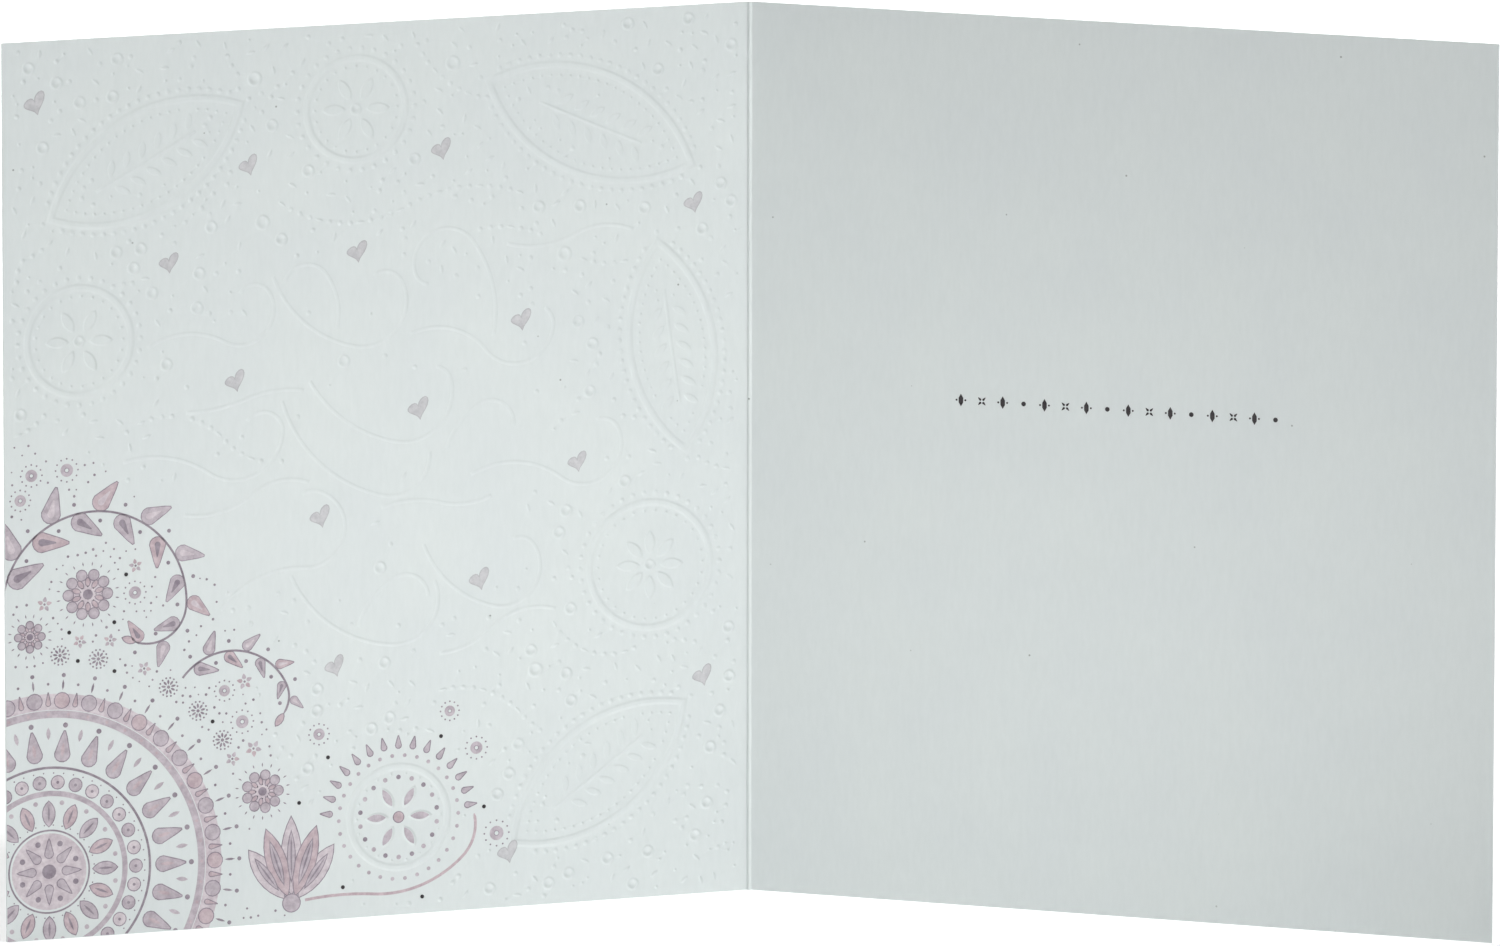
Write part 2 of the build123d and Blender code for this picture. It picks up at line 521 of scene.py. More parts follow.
def eyeDot(x, y, radius):
    # a round spot with a light middle and a circle of fine dots
    stamp("spray_print", ringShape(radius * 0.62, radius * 0.62, 18), x, y)
    stamp("spray_print", ringShape(radius * 0.32, 0.14, 14, ink="edge"), x, y, level="lineLevel")
    for a, b, angle in aroundCircle(x, y, radius * 1.65, 12):
        stamp("spray_print", shape("disc", 0.2, 6, ink="edge", edge=None), a, b)
    claim(x, y, radius * 1.8)


def spray(x, y, heading, arcs, pitch, leaf, width, shrink=0.6):
    # a bent stem with leaves in turn to the left and the right, smaller towards its end
    stamp("spray_print", lineShape(0.45, arcs, ink="edge", taper=0.5), x, y, heading)
    spots = walk(arcs, pitch, x, y, heading, pitch * 0.7)
    for i, (a, b, along) in enumerate(spots):
        side = 1 if i % 2 else -1
        size = 1 - (1 - shrink) * i / len(spots)
        turn = along + side * 48
        leafShape = shape("drop", leaf, width, 14, ink="rose" if i % 3 == 2 else "mauve")
        inner = shape("drop", leaf * 0.5, width * 0.36, 10, ink="blush" if i % 2 else "edge", edge=None)
        stamp("spray_print", leafShape, *turned(a, b, turn, 0.5), turn, size)
        stamp("spray_print", inner, *turned(a, b, turn, 0.5 + width * 0.3 * size), turn, size,
              level="lineLevel")
        stamp("spray_print", shape("disc", 0.42, 8, ink="edge", edge=None),
              *turned(a, b, along - side * 55, 2.4), level="lineLevel")
        claim(*turned(a, b, turn, leaf / 2 * size), leaf / 2 * size)
        claim(a, b, 2.9)
    a, b, along = walk(arcs, 0.5, x, y, heading)[-1]
    stamp("spray_print", shape("oval", 3.4, 1.7, 5, ink="rose"), *turned(a, b, along, 1.6), along)
    claim(a, b, 3.4)


def burst(x, y, radius):
    # a tuft of fine strokes round a dot, with a circle of dots at their ends
    stroke = shape("oval", round(radius * 0.56, 1), 0.5, 3, ink="edge", edge=None)
    stamp("spray_print", shape("disc", 0.36, 9, ink="edge", edge=None), x, y)
    for a, b, angle in aroundCircle(x, y, radius * 0.55, 9, 12):
        stamp("spray_print", stroke, a, b, angle)
    for a, b, angle in aroundCircle(x, y, radius, 14, 2):
        stamp("spray_print", shape("disc", 0.22, 6, ink="edge", edge=None), a, b)
    claim(x, y, radius + 0.4)


print("printed sprays")
sprays = {
    # start, heading, arcs, pitch of the leaves, their length and width
    "stems": [(-159.5, 70, 84, [(19.5, -176), (8, -110)], 5.0, 8.6, 4.6),
              (-121.5, 52, 52, [(13, -118), (6, -60)], 3.8, 5.6, 2.9)],
    # middle, radius and petals
    "rosettes": [(-141.5, 70.5, 5.4, 10), (-104.6, 27.5, 4.6, 9), (-153.8, 62.5, 3.4, 8)],
}
for stem in sprays["stems"]:
    spray(*stem)
for blossomRound in sprays["rosettes"]:
    rosette(*blossomRound)

print("printed blossom")
# a fan of pointed petals low between the corner and the embossed flower, with one tendril
blossom = {
    "foot": (-98.5, 3.0), "start": 2.2, "width": 4.6,
    "petals": [(54, 13.5), (72, 15.5), (90, 17.0), (108, 15.5), (126, 13.5)],    # heading and length
    "tendril": (-95.6, 4.4, 8, [(60, -14), (24, 50), (9, 60)]), "tendrilWidth": 0.6,
}
fx, fy = blossom["foot"]
for i, (angle, length) in enumerate(blossom["petals"]):
    x, y = turned(fx, fy, angle, blossom["start"] + length / 2)
    petalShape = shape("oval", length, blossom["width"], 8, ink="rose" if i % 2 else "blush")
    stamp("blossom_print", petalShape, x, y, angle, level="fillLevel" if i % 2 else "underLevel")
    stamp("blossom_print", shape("oval", length * 0.66, 1.9, 7), x, y, angle, level="lineLevel")
    stamp("blossom_print", shape("oval", length * 0.5, 0.4, 6, ink="edge", edge=None), x, y, angle,
          level="darkLevel")
    claim(x, y, length / 2)
stamp("blossom_print", shape("disc", 2.0, 18), fx, fy + 1.0, level="darkLevel")
x, y, heading, arcs = blossom["tendril"]
stamp("blossom_print", lineShape(blossom["tendrilWidth"], arcs, ink="rose", taper=0.4), x, y, heading)
for a, b, along in walk(arcs, 2.0, x, y, heading):
    claim(a, b, 0.9)

# the embossed flower beside it is tinted: films lie on the floors of its petals, dots stand round it
across, up, radius, petals = relief["roundels"][3]
x, y = onLeaf(across, up)
floorInset = sum(step[0] for step in relief["petalWall"])
floorDown = sum(step[1] for step in relief["petalWall"])
bm = bmesh.new()
face = ovalFace(bm, petalLength, petalWidth, 8)
rims = bmesh.ops.inset_individual(bm, faces=[face], thickness=floorInset + 0.03,
                                  use_even_offset=True)["faces"]
bmesh.ops.delete(bm, geom=rims, context="FACES")
bmesh.ops.translate(bm, verts=bm.verts, vec=(0, 0, -floorDown))
tint = keepMesh(bm, "petalTint")
for a, b, angle in aroundCircle(x, y, petalReach, petals):
    stamp("blossom_print", tint, a, b, angle)
stamp("blossom_print", shape("disc", 1.25, 16, ink="rose"), x, y)
for i, (a, b, angle) in enumerate(aroundCircle(x, y, radius - 2.2, 18, 10)):
    stamp("blossom_print", shape("disc", 0.5, 9, ink="mauve" if i % 2 else "edge", edge=None), a, b)
for a, b, angle in aroundCircle(x, y, radius + 2.3, 30):
    if isFree(a, b, 0.5, 0.3):
        stamp("blossom_print", shape("disc", 0.42, 9, edge=None), a, b)
        claim(a, b, 0.5)
for a, b, angle in aroundCircle(x, y, radius + 3.6, 30, 6):
    middle = turned(a, b, angle, 1.2)
    if angle % 360 < 200 and isFree(*middle, 1.5, 0.1):    # none below the embossed flower
        stamp("blossom_print", shape("drop", 3.0, 1.5, 10), a, b, angle)
        claim(*middle, 1.4)

# tufts follow the corner's round edge
away, count, radius = corner["tufts"]
for x, y, angle in aroundCircle(cx, cy, away, count, 2):
    if isFree(x, y, radius + 0.3, 0.3):
        burst(x, y, radius)

print("small print")
# small shapes fill what is left of the printed corner, thinning out away from it
filling = {
    "width": 62.0, "height": 103.0, "tries": 90, "gap": 0.55,
    # how many, how far each reaches for its radius, least and greatest radius
    "eyeDots": (13, 1.8, (1.2, 1.7)),
    "bursts": (13, 1.15, (1.9, 2.6)),
    "florets": (24, 1.05, (1.3, 1.8)),
    "darkDots": (6, 1, (0.6, 0.7)),
    "specks": (200, 1, (0.4, 0.5)),
    # a few more beside the blossom
    "moreEyeDots": [(-54.5, 15.5, 1.6), (-58.8, 33.5, 1.4), (-64.5, 41.5, 1.2), (-92.5, 38.5, 1.3)],
    "moreDarkDots": [(-90.6, 33.6), (-96.8, 24.6), (-66.4, 36.4), (-57.2, 21.2), (-87.5, 6.5), (-70.5, 3.4)],
}


def floret(x, y, radius):
    for a, b, angle in aroundCircle(x, y, radius * 0.28, 5, random.uniform(0, 72)):
        inkName = random.choice(["mauve", "rose"])
        stamp("spray_print", shape("drop", 1.1, 0.85, 9, ink=inkName, edge=None), a, b, angle, radius / 1.5)
    stamp("spray_print", shape("disc", 0.26, 7, ink="edge", edge=None), x, y, level="lineLevel")
    claim(x, y, radius)


def darkDot(x, y, radius=0.6):
    stamp("dark_print", shape("disc", 0.42, 10, edge=None), x, y, level="darkLevel")
    claim(x, y, 0.6)


def speck(x, y, radius):
    stamp("spray_print", shape("disc", 0.24, 7, ink="edge", edge=None), x, y, size=random.uniform(0.7, 1.3))
    claim(x, y, 0.4)


for kind, make in (("eyeDots", eyeDot), ("bursts", burst), ("florets", floret), ("darkDots", darkDot),
                   ("specks", speck)):
    count, reach, sizes = filling[kind]
    made = 0
    for attempt in range(count * filling["tries"]):
        radius = random.uniform(*sizes)
        x, y = random.uniform(-158, -158 + filling["width"]), random.uniform(1, filling["height"])
        off = math.hypot((x + 159) / filling["width"], y / filling["height"])
        if off < random.uniform(0.75, 1.0) and isFree(x, y, radius * reach, filling["gap"]):
            make(x, y, radius)
            made += 1
        if made == count:
            break
for spotAndSize in filling["moreEyeDots"]:
    eyeDot(*spotAndSize)
for spot in filling["moreDarkDots"]:
    darkDot(*spot)

print("small dies")
# dotted lines follow the outlines, and a sprig fills each embossed leaf
for rim in leafRims:
    x, y, turn, radius, bend, length, width = rim
    press(midrib, *turned(x, y, turn, sprig["stemStart"]), turn + sprig["stemTurn"])
    for step in range(-6, 7):
        claim(*turned(x, y, turn, step * 2), 0.6)
    for along in sprig["leaves"]:
        for side in (1, -1):
            a, b = turned(x, y, turn, along + sprig["lead"], side * sprig["aside"])
            press(sprigLeaf, a, b, turn + side * sprig["turn"])
            for reach in (-1.4, 0, 1.4):
                claim(*turned(a, b, turn + side * sprig["turn"], reach), 0.95)
    for outset, pitch, die in ((2.1, 2.2, dot), (-2.1, 2.0, fineDot)):
        for a, b in rimSpots(rim, outset, pitch):
            pressIfFree(die, a, b, gap=relief["rowGap"])
for across, up, radius, petals in relief["roundels"]:
    x, y = onLeaf(across, up)
    for a, b, angle in aroundCircle(x, y, radius + 2.0, round(radius * 2.9)):
        pressIfFree(dot, a, b, gap=relief["rowGap"])
    tinted = petals == 6 and up < 0.5
    count, inset, size = (18, 1.5, 0.8) if tinted else (round(radius * 2.3), 1.75, 1.0)
    for a, b, angle in aroundCircle(x, y, radius - inset, count):
        press(fineDot, a, b, size=size)
    if not tinted:
        press(smallRing, x, y, size=0.9)

# faint scrolls in three loose rows across the middle of the leaf; each finds a free place near its own
scrolls = {
    "width": 1.05, "wander": 9.0, "swing": 24.0, "tries": 140,
    # each: start, heading and arcs
    "lines": [
        (-131, 121, 30, [(16, -62), (7, 150), (3.6, 120)]),
        (-106, 132, -70, [(24, 58), (9, 130), (4, 100)]),
        (-80, 126, 35, [(14, -75), (8, 140), (4, 60)]),
        (-54, 113, 62, [(26, 46), (7, 160), (3.4, 70)]),
        (-134, 97, 15, [(22, -50), (10, 120), (4.2, 150)]),
        (-104, 104, -65, [(30, 60), (8, 110)]),
        (-88, 104, -72, [(28, 48), (10, 115), (4, 70)]),
        (-60, 90, 28, [(18, -66), (8, 150), (3.8, 90)]),
        (-114, 64, 55, [(20, -58), (8, 170), (4, 50)]),
        (-98, 72, -68, [(26, 62), (9, 120)]),
        (-74, 76, -60, [(22, 55), (8, 140), (3.6, 80)]),
        (-124, 110, -12, [(34, 22), (24, -30)]),
        (-78, 88, 20, [(22, -34), (16, 40)]),
        (-52, 134, -25, [(20, 44), (14, -52)]),
        (-66, 58, 8, [(18, 40), (14, -60)]),
        (-90, 120, 80, [(14, 50), (5, 130)]),
        (-70, 100, 70, [(16, -40), (5, -130)]),
        (-104, 90, 60, [(15, 45), (5, 140)]),
        (-84, 60, 75, [(16, -45), (5, -120)]),
        (-120, 84, -20, [(18, 50), (12, -60)]),
    ],
}
for x, y, heading, arcs in scrolls["lines"]:
    for attempt in range(scrolls["tries"]):
        share = attempt / scrolls["tries"]
        startX = x + random.uniform(-1, 1) * scrolls["wander"] * share
        startY = y + random.uniform(-1, 1) * scrolls["wander"] * share
        turn = heading + random.uniform(-1, 1) * scrolls["swing"] * share
        spots = walk(arcs, 0.8, startX, startY, turn)
        if all(isFree(a, b, scrolls["width"] / 2, relief["gap"]) for a, b, along in spots):
            break
    else:
        print("scroll left out", x, y)
        continue
    bm = bmesh.new()
    strip(bm, scrolls["width"], arcs, 1.0)
    sinkBand(bm, relief["thinWall"])
    press(keepMesh(bm, "scrollDie"), startX, startY, turn)
    for a, b, along in spots:
        claim(a, b, scrolls["width"] / 2)

# dotted swags: start, heading and arcs
swagPitch = 2.2
swags = [
    (-157, 139, 10, [(16, 60), (12, -75), (20, 40)]),
    (-112, 181, -80, [(14, 95), (18, 70)]),
    (-72, 181, -70, [(22, 80)]),
    (-100, 148, -35, [(26, 62), (30, -48)]),
    (-60, 140, 15, [(22, -55), (16, 60)]),
    (-5, 88, 170, [(14, -80), (10, 70)]),
    (-42, 58, -60, [(14, 80), (22, -40)]),
    (-66, 46, 10, [(18, -60), (20, 50)]),
    (-130, 105, 20, [(16, -70), (14, 60)]),
    (-156, 104, 20, [(14, 60)]),
]
for x, y, heading, arcs in swags:
    for i, (a, b, along) in enumerate(walk(arcs, swagPitch, x, y, heading)):
        pressIfFree(dot if i % 4 else seed, a, b, along, 1.0 if i % 4 else 0.9, gap=0.15)


def crowding(x, y):
    # how much of the pattern belongs here: little in the middle of the leaf, more towards its edges
    quiet = relief["quiet"]
    (qx, qy), (reachX, reachY) = quiet["middle"], quiet["reach"]
    off = math.hypot((x - qx) / reachX, (y - qy) / reachY)
    return min(1.0, max(quiet["share"], (off - 0.75) * 1.6))


def scatter(count, gap, dies):
    made = 0
    for attempt in range(count * 60):
        x = random.uniform(-sheet["leafWidth"], 0)
        y = random.uniform(0, sheet["leafHeight"])
        if random.random() < crowding(x, y):
            made += pressIfFree(random.choice(dies), x, y, random.uniform(0, 180), gap=gap)
        if made == count:
            break
    return made


rings = scatter(*relief["smallRings"], [smallRing])
dashes = scatter(*relief["dashes"], [seed])
dots = scatter(*relief["dots"], [dot, dot, fineDot])
print("scattered", rings, "rings,", dashes, "dashes,", dots, "dots,", len(pressed), "pressed in all")


def plainRange(tree, value, low, high, outLow, outHigh):
    span = tree.nodes.new("ShaderNodeMapRange")
    span.inputs["From Min"].default_value, span.inputs["From Max"].default_value = low, high
    span.inputs["To Min"].default_value, span.inputs["To Max"].default_value = outLow, outHigh
    tree.links.new(value, span.inputs["Value"])
    return span.outputs["Result"]


def objectNoise(tree, scale, detail, stretch=(1, 1, 1), roughness=0.5):
    spot = tree.nodes.new("ShaderNodeTexCoord")
    mapping = tree.nodes.new("ShaderNodeMapping")
    mapping.inputs["Scale"].default_value = stretch
    noise = tree.nodes.new("ShaderNodeTexNoise")
    noise.inputs["Scale"].default_value = scale
    noise.inputs["Detail"].default_value = detail
    noise.inputs["Roughness"].default_value = roughness
    tree.links.new(spot.outputs["Object"], mapping.inputs["Vector"])
    tree.links.new(mapping.outputs["Vector"], noise.inputs["Vector"])
    return noise.outputs["Fac"]


def mixColours(tree, factor, first, second, blend="MIX"):
    mix = tree.nodes.new("ShaderNodeMix")
    mix.data_type, mix.blend_type = "RGBA", blend
    slots = [s for s in mix.inputs if s.enabled]
    for value, socket in zip((factor, first, second), slots):
        if isinstance(value, bpy.types.NodeSocket):
            tree.links.new(value, socket)
        else:
            socket.default_value = value
    return [s for s in mix.outputs if s.enabled][0]


def linear(r, g, b):
    # a colour as a paint program gives it, as Blender's nodes want it
    return tuple(c / 255 / 12.92 if c <= 10 else ((c / 255 + 0.055) / 1.055) ** 2.4
                 for c in (r, g, b)) + (1.0,)


def newMaterial(name, roughness):
    material = bpy.data.materials.new(name)
    material.use_nodes = True
    shader = material.node_tree.nodes["Principled BSDF"]
    shader.inputs["Roughness"].default_value = roughness
    shader.inputs["Specular IOR Level"].default_value = 0.25
    return material, material.node_tree, shader


def paperBump(tree, shader, strength, distance):
    tooth = objectNoise(tree, 2600, 3, roughness=0.6)
    felt = objectNoise(tree, 420, 4, (1, 1, 0.45))
    height = tree.nodes.new("ShaderNodeMath")
    height.operation = "MULTIPLY_ADD"
    height.inputs[1].default_value = 1.6
    tree.links.new(felt, height.inputs[0])
    tree.links.new(tooth, height.inputs[2])
    bump = tree.nodes.new("ShaderNodeBump")
    bump.inputs["Strength"].default_value = strength
    bump.inputs["Distance"].default_value = distance
    tree.links.new(height.outputs[0], bump.inputs["Height"])
    tree.links.new(bump.outputs["Normal"], shader.inputs["Normal"])


print("materials")
boardLook = {
    "colour": (213, 219, 218), "shade": (211, 217, 217), "fleck": (150, 156, 152),
    # painted highlight: a lighter paper for the bead's lit right flank
    "paintedHighlight": (219, 225, 224), "paintedHighlightShade": (213, 219, 218),
    "cloudScale": 55, "fibreScale": 900, "fleckScale": 210,
    "fleckSize": (0.03, 0.055),     # where a fleck starts to fade and where it ends
    "fleckShare": (0.90, 0.92),     # flecks show in the cells above this
    "roughness": (0.8, 0.95), "bump": 0.35, "bumpDepth": 0.00002,
}


def boardPaper(name, light, shade):
    look = boardLook
    material, tree, shader = newMaterial(name, 0.88)
    cloud = plainRange(tree, objectNoise(tree, look["cloudScale"], 3), 0.3, 0.7, 0, 1)
    fibres = plainRange(tree, objectNoise(tree, look["fibreScale"], 5, (1, 1, 0.3), 0.65), 0.32, 0.68, 0, 1)
    colour = mixColours(tree, cloud, linear(*light), linear(*shade))
    deeper = mixColours(tree, fibres, (0.978, 0.981, 0.979, 1), (1.014, 1.013, 1.013, 1))
    colour = mixColours(tree, 1.0, colour, deeper, "MULTIPLY")
    spot = tree.nodes.new("ShaderNodeTexCoord")
    cells = tree.nodes.new("ShaderNodeTexVoronoi")
    cells.inputs["Scale"].default_value = look["fleckScale"]
    tree.links.new(spot.outputs["Object"], cells.inputs["Vector"])
    near = plainRange(tree, cells.outputs["Distance"], *look["fleckSize"], 1, 0)
    split = tree.nodes.new("ShaderNodeSeparateColor")
    tree.links.new(cells.outputs["Color"], split.inputs["Color"])
    few = plainRange(tree, split.outputs["Red"], *look["fleckShare"], 0, 1)
    both = tree.nodes.new("ShaderNodeMath")
    both.operation = "MULTIPLY"
    tree.links.new(near, both.inputs[0])
    tree.links.new(few, both.inputs[1])
    colour = mixColours(tree, both.outputs[0], colour, linear(*look["fleck"]))
    tree.links.new(colour, shader.inputs["Base Color"])
    tree.links.new(plainRange(tree, fibres, 0, 1, *look["roughness"]), shader.inputs["Roughness"])
    paperBump(tree, shader, look["bump"], look["bumpDepth"])
    return material


inkLook = {
    "washScale": 620, "grainScale": 2400,
    "roughness": (0.69, 0.83), "bump": 0.25, "bumpDepth": 0.00002,
}


def ink(name, light, deep):
    look = inkLook
    material, tree, shader = newMaterial(name, 0.75)
    wash = plainRange(tree, objectNoise(tree, look["washScale"], 4, roughness=0.62), 0.34, 0.66, 0, 1)
    grain = plainRange(tree, objectNoise(tree, look["grainScale"], 2), 0.3, 0.7, 0, 1)
    colour = mixColours(tree, wash, linear(*light), linear(*deep))
    speck = mixColours(tree, grain, (0.96, 0.96, 0.96, 1), (1.05, 1.05, 1.05, 1))
    colour = mixColours(tree, 1.0, colour, speck, "MULTIPLY")
    tree.links.new(colour, shader.inputs["Base Color"])
    tree.links.new(plainRange(tree, grain, 0, 1, *look["roughness"]), shader.inputs["Roughness"])
    paperBump(tree, shader, look["bump"], look["bumpDepth"])
    return material


board = boardPaper("boardPaper", boardLook["colour"], boardLook["shade"])
# the same paper made lighter, as a painted highlight on the bead's lit right flank
paintedHighlight = boardPaper("paintedHighlightPaper", boardLook["paintedHighlight"], boardLook["paintedHighlightShade"])
inkMaterials = {
    "mauve": ink("mauveInk", (193, 184, 191), (167, 157, 165)),
    "edge": ink("deepMauveInk", (156, 147, 156), (130, 120, 131)),
    "rose": ink("roseInk", (198, 182, 187), (174, 156, 162)),
    "blush": ink("blushInk", (209, 201, 205), (186, 175, 182)),
    "soft": ink("greyMauveInk", (185, 186, 188), (172, 172, 175)),
    "haze": ink("paleMauveInk", (201, 201, 203), (184, 184, 187)),
    "dark": ink("nearBlackInk", (66, 62, 64), (48, 44, 47)),
}


def finishPiece(bm, name, materials):
    bmesh.ops.scale(bm, verts=bm.verts, vec=(mm,) * 3)
    mesh = keepMesh(bm, name)
    for material in materials:
        mesh.materials.append(material)
    piece = bpy.data.objects.new(name, mesh)
    bpy.context.scene.collection.objects.link(piece)
    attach(piece, "root")
    print(name, "triangles", sum(len(p.vertices) - 2 for p in mesh.polygons))
    return piece


def standUp(bm):
    # stands the flat work on its foot, turns each leaf forward about the fold and moves it into place
    bmesh.ops.rotate(bm, verts=bm.verts, cent=(0, 0, 0), matrix=Matrix.Rotation(math.radians(90), 3, "X"))
    for side in (-1, 1):
        leaf = [v for v in bm.verts if v.co.x * side > 1e-5]
        bmesh.ops.rotate(bm, verts=leaf, cent=(0, 0, 0),
                         matrix=Matrix.Rotation(math.radians(-side * sheet["leafTurn"]), 3, "Z"))
    bmesh.ops.translate(bm, verts=bm.verts, vec=(0, sheet["foldBack"], 0))


print("sheet")
bm = bmesh.new()
for die, where in pressed:
    copy = die.copy()
    copy.transform(where)
    bm.from_mesh(copy)
    bpy.data.meshes.remove(copy)
foldSide = sheet["fold"][0][0]
steps = sheet["rows"]
column = [bm.verts.new((foldSide, sheet["leafHeight"] * i / steps, 0)) for i in range(steps + 1)]
corners = [bm.verts.new((-sheet["leafWidth"], h, 0)) for h in (sheet["leafHeight"], 0)]
border = column + corners
chain = [bm.edges.new(pair) for pair in zip(column, column[1:])]
for pair in zip(border[steps:], border[steps + 1:] + border[:1]):
    bm.edges.new(pair)
# the board between the pressed shapes
bmesh.ops.triangle_fill(bm, edges=[e for e in bm.edges if len(e.link_faces) < 2], use_beauty=True,
                        normal=(0, 0, 1))
print("open edges after the fill", sum(len(e.link_faces) < 2 for e in bm.edges), "border", len(border))
bm.normal_update()
print("leaf covered", round(sum(abs(f.normal.z) * f.calc_area() for f in bm.faces)), "of",
      round((sheet["leafWidth"] + foldSide) * sheet["leafHeight"]))
# the bead and the back leaf, extruded from the front leaf's fold side
stations = [(x, lift) for x, lift, across, forward in sheet["fold"][1:]]
stations += [(x, 0.0) for x in (*sheet["backColumns"], sheet["leafWidth"])]
rowsOfVerts = [(column, 0.0)]
edges, at = chain, foldSide
for x, lift in stations:
    out = bmesh.ops.extrude_edge_only(bm, edges=edges)["geom"]
    verts = [g for g in out if isinstance(g, bmesh.types.BMVert)]
    edges = [g for g in out if isinstance(g, bmesh.types.BMEdge) and g.is_boundary
             and all(v in set(verts) for v in g.verts)]
    edges = [e for e in edges if abs(e.verts[0].co.x - e.verts[1].co.x) < 1e-6]
    bmesh.ops.translate(bm, verts=verts, vec=(x - at, 0, 0))
    rowsOfVerts.append((verts, lift))
    at = x
bmesh.ops.recalc_face_normals(bm, faces=bm.faces)
faceUp(bm)
standUp(bm)
for verts, lift in rowsOfVerts:
    bmesh.ops.translate(bm, verts=verts, vec=(0, -lift, 0))
bmesh.ops.solidify(bm, geom=bm.faces[:], thickness=sheet["board"])
for (verts, lift), (x, stands, across, forward) in zip(rowsOfVerts, sheet["fold"]):
    bmesh.ops.translate(bm, verts=verts, vec=(across, -forward, 0))
for f in bm.faces:
    f.smooth = True
for e in bm.edges:
    if len(e.link_faces) == 2 and e.calc_face_angle(0) > math.radians(sheet["sharpFrom"]):
        e.smooth = False
# painted highlight: the inner faces of the bead's right flank, the side the key lamp lights, get the lighter
# paper
highlightFrom, highlightTo = sheet["paintedHighlightSpan"]
for f in bm.faces:
    if highlightFrom < f.calc_center_median().x < highlightTo and f.normal.y < -0.3:
        f.material_index = 1
card = finishPiece(bm, "card_sheet", [board, paintedHighlight])
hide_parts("card")
# flat board keeps its flat shade up to the edge of each dent
even = card.modifiers.new("evenShade", "WEIGHTED_NORMAL")
even.mode, even.weight, even.keep_sharp = "FACE_AREA", 50, True

print("print on the back leaf")
row = {
    "from": 45.5, "to": 112.5, "height": 104.6, "count": 16,
    "bud": (2.6, 1.1, 3), "budDot": (0.22, 7), "budAside": 0.95,
    "star": (0.95, 0.5, 8), "starReach": 0.72, "dot": (0.5, 12),
}
for i in range(row["count"]):
    x = row["from"] + (row["to"] - row["from"]) * i / (row["count"] - 1)
    y = row["height"]
    if i % 2 == 0:
        stamp("row_print", shape("oval", *row["bud"], edge=None), x, y, 90)
        for side in (-1, 1):
            stamp("row_print", shape("disc", *row["budDot"], edge=None), x + side * row["budAside"], y)
    elif i % 4 == 1:
        for a, b, angle in aroundCircle(x, y, row["starReach"], 4, 45):
            stamp("row_print", shape("drop", *row["star"], edge=None), *turned(a, b, angle, -0.5), angle)
    else:
        stamp("row_print", shape("disc", *row["dot"], edge=None), x, y)

print("films")
for name, bm in printed.items():
    if name == "row_print":
        low, high = 0, sheet["leafWidth"]
    else:
        low, high = -sheet["leafWidth"], 0
    margin = inks["margin"]
    for spot, normal in (((low + margin, 0, 0), (-1, 0, 0)), ((high - margin, 0, 0), (1, 0, 0)),
                         ((0, margin, 0), (0, -1, 0)), ((0, sheet["leafHeight"] - margin, 0), (0, 1, 0))):
        bmesh.ops.bisect_plane(bm, geom=bm.verts[:] + bm.edges[:] + bm.faces[:], plane_co=spot,
                               plane_no=normal, clear_outer=True)
    faceUp(bm)
    bmesh.ops.solidify(bm, geom=bm.faces[:], thickness=inks["film"])
    standUp(bm)
    if name in ("row_print", "dark_print"):
        finishPiece(bm, name, [inkMaterials["dark"]])
    else:
        finishPiece(bm, name, [inkMaterials[k] for k in inkOrder])

print("floor, light and camera")
studio = {
    "floorSize": 14.0, "floorPale": (0.88, 0.88, 0.88, 1), "floorPaler": (0.90, 0.90, 0.90, 1),
    "keyPower": 100.0, "keySize": 0.7, "keyPlace": (1.95, -1.19, 3.24),
    "fillPower": 25.0, "fillSize": 1.2, "fillPlace": (-2.4, -2.0, 2.5),
    "lowPower": 0.16, "lowSize": 0.12, "lowPlace": (0.0, -0.17, 0.008),
    "backPower": 72.0, "backSize": 0.6, "backPlace": (-1.45, 1.7, 3.15),     # lights the outside and floor
    "lampsAim": (0.0, 0.0, 0.05),
    "world": 0.116,
    "whiteNear": 0.19, "whiteFar": 0.76,     # what the camera sees on the floor on top of its shading
    "nearReach": 0.35, "farReach": 1.6,
}
bm = bmesh.new()
bmesh.ops.create_grid(bm, x_segments=4, y_segments=4, size=studio["floorSize"] / 2)
floor = bpy.data.objects.new("floor", keepMesh(bm, "floor"))
bpy.context.scene.collection.objects.link(floor)
floor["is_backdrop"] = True


def seenRays(tree):
    # 1 for what the camera sees, straight on or by gloss or glass, and 0 for light on the object
    path = tree.nodes.new("ShaderNodeLightPath")
    seen = path.outputs["Is Camera Ray"]
    for other in ("Is Glossy Ray", "Is Transmission Ray"):
        either = tree.nodes.new("ShaderNodeMath")
        either.operation = "MAXIMUM"
        tree.links.new(seen, either.inputs[0])
        tree.links.new(path.outputs[other], either.inputs[1])
        seen = either.outputs[0]
    return seen


floorMaterial, tree, shader = newMaterial("paleFloor", 0.9)
grain = plainRange(tree, objectNoise(tree, 35, 3), 0.3, 0.7, 0, 1)
floorColour = mixColours(tree, grain, studio["floorPale"], studio["floorPaler"])
tree.links.new(floorColour, shader.inputs["Base Color"])
white = tree.nodes.new("ShaderNodeEmission")
spot = tree.nodes.new("ShaderNodeTexCoord")
reach = tree.nodes.new("ShaderNodeVectorMath")
reach.operation = "LENGTH"
tree.links.new(spot.outputs["Object"], reach.inputs[0])
lift = plainRange(tree, reach.outputs["Value"], studio["nearReach"], studio["farReach"], studio["whiteNear"],
                  studio["whiteFar"])
strength = tree.nodes.new("ShaderNodeMath")
strength.operation = "MULTIPLY"
tree.links.new(lift, strength.inputs[0])
tree.links.new(seenRays(tree), strength.inputs[1])
tree.links.new(strength.outputs[0], white.inputs["Strength"])
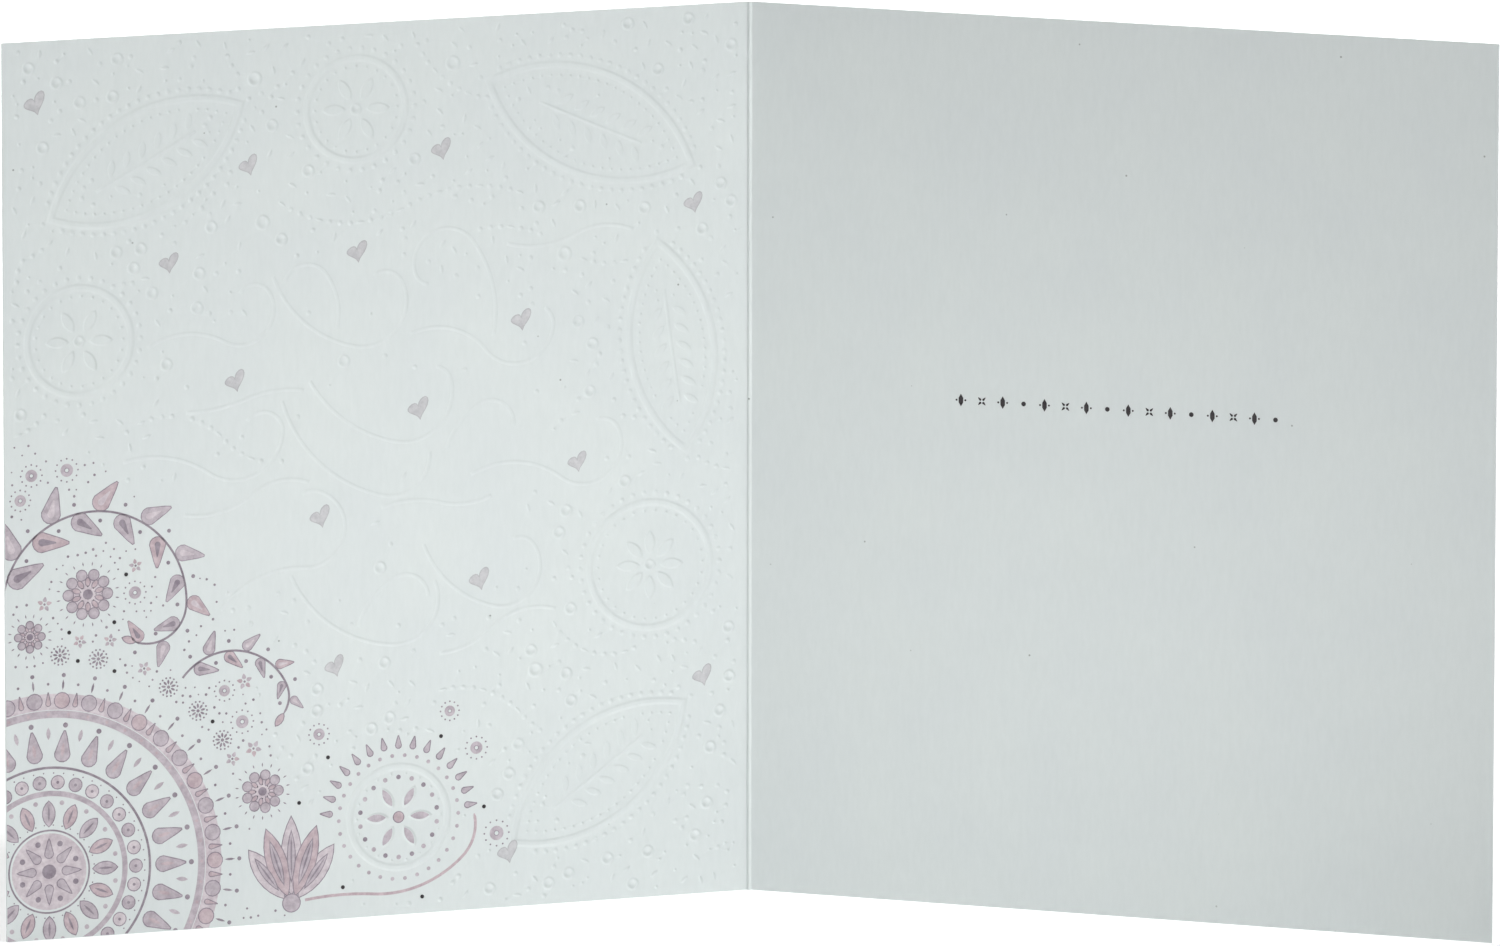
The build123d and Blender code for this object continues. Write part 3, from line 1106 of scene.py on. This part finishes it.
both = tree.nodes.new("ShaderNodeAddShader")
tree.links.new(shader.outputs["BSDF"], both.inputs[0])
tree.links.new(white.outputs["Emission"], both.inputs[1])
tree.links.new(both.outputs["Shader"], tree.nodes["Material Output"].inputs["Surface"])
floor.data.materials.append(floorMaterial)

world = bpy.data.worlds.new("studio")
bpy.context.scene.world = world
world.use_nodes = True
tree = world.node_tree
soft = tree.nodes["Background"]
soft.inputs["Color"].default_value = (1, 1, 1, 1)
soft.inputs["Strength"].default_value = studio["world"]
bright = tree.nodes.new("ShaderNodeBackground")
bright.inputs["Color"].default_value = (1, 1, 1, 1)
either = tree.nodes.new("ShaderNodeMixShader")
tree.links.new(seenRays(tree), either.inputs["Fac"])
tree.links.new(soft.outputs["Background"], either.inputs[1])
tree.links.new(bright.outputs["Background"], either.inputs[2])
tree.links.new(either.outputs["Shader"], tree.nodes["World Output"].inputs["Surface"])

for name in ("key", "fill", "low", "back"):
    lamp = bpy.data.lights.new(name, "AREA")
    lamp.energy, lamp.size = studio[name + "Power"], studio[name + "Size"]
    holder = bpy.data.objects.new(name, lamp)
    holder.location = studio[name + "Place"]
    holder.rotation_euler = (Vector(studio["lampsAim"]) - holder.location).to_track_quat("-Z", "Y").to_euler()
    holder.visible_camera = False
    bpy.context.scene.collection.objects.link(holder)

view = {"lens": 480.0, "place": (-12.3, -3980.5, 835.6), "aim": (0.09, 0.0, 91.6), "roll": 0.058}
camera = bpy.data.cameras.new("camera")
camera.lens, camera.sensor_width, camera.clip_end = view["lens"], 36.0, 60.0
eye = bpy.data.objects.new("camera", camera)
eye.location = Vector(view["place"]) * mm
turn = (Vector(view["aim"]) - Vector(view["place"])).to_track_quat("-Z", "Y")
eye.rotation_euler = (turn @ Quaternion((0, 0, 1), math.radians(view["roll"]))).to_euler()
bpy.context.scene.collection.objects.link(eye)
bpy.context.scene.camera = eye
bpy.context.scene.view_settings.view_transform = "Standard"

sizes = {"cad": [list(c) for c in cadBounds], "visual": [list(c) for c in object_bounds()]}
